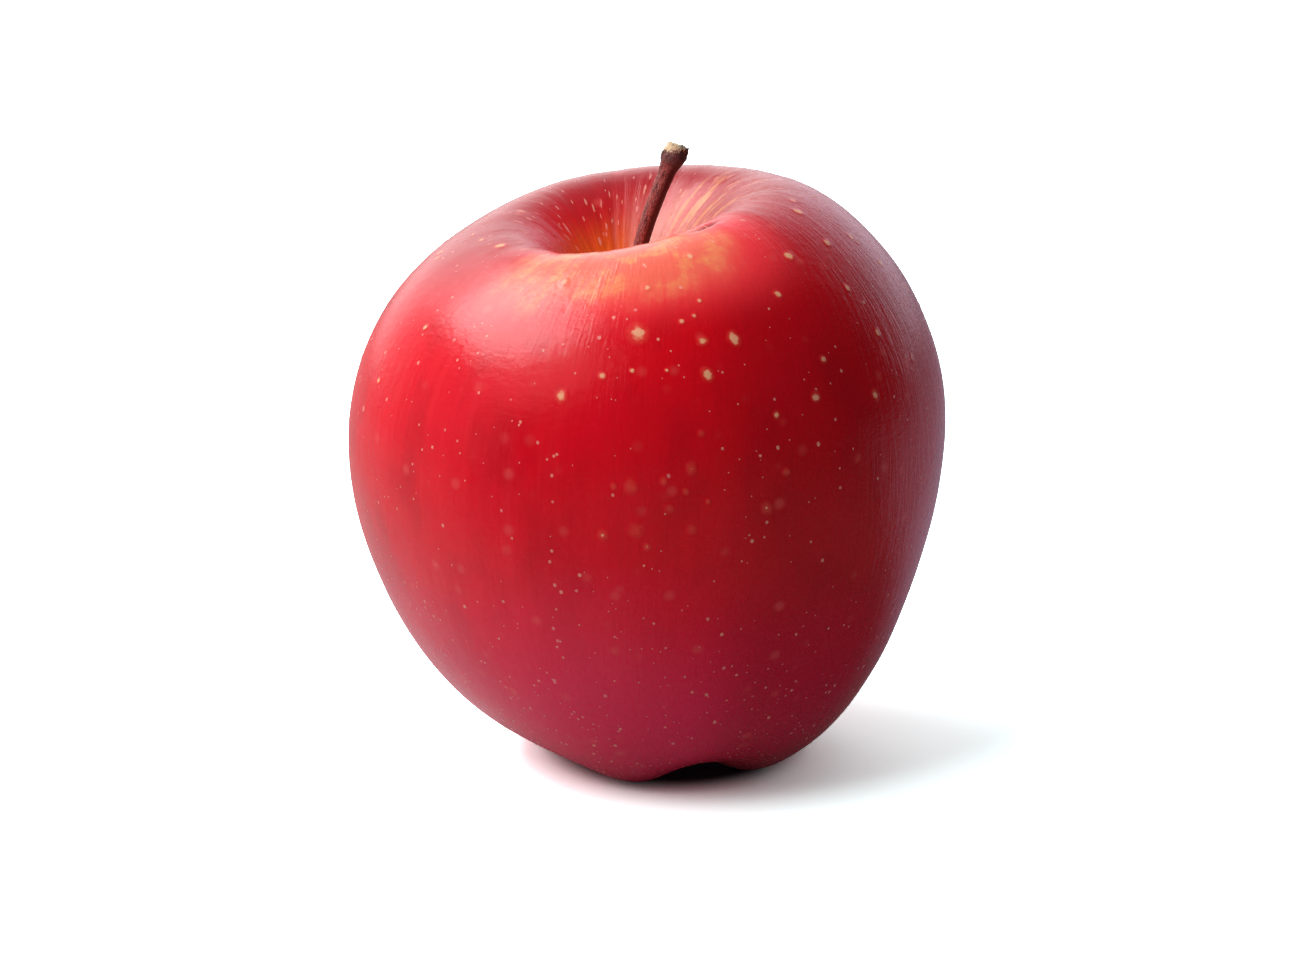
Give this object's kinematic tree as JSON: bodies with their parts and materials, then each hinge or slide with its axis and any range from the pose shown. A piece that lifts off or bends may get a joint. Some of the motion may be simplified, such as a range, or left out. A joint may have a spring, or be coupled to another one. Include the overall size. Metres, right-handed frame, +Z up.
{
  "type": "apple",
  "caption": "Whole ripe red apple with its stem, a deep stem cavity and a lobed base it stands on",
  "frame": {"origin": "on the surface it stands on, under the middle of the whole apple's box", "axes": "+Z up, -Y is the front, +X to the right; the stem leans toward +X"},
  "size_m": [0.0788, 0.0788, 0.0824],
  "materials": {
    "skin": "waxy natural skin, glossy",
    "bark": "dry bark, matte",
    "dry_sepal": "dried leaf, matte",
    "dry_stamen": "dried fibre, matte"
  },
  "bodies": {
    "root": {"fruit": "skin", "stem": "bark", "sepal_1": "dry_sepal", "sepal_2": "dry_sepal", "sepal_3": "dry_sepal", "sepal_4": "dry_sepal", "sepal_5": "dry_sepal", "stamens": "dry_stamen"}
  },
  "joints": []
}
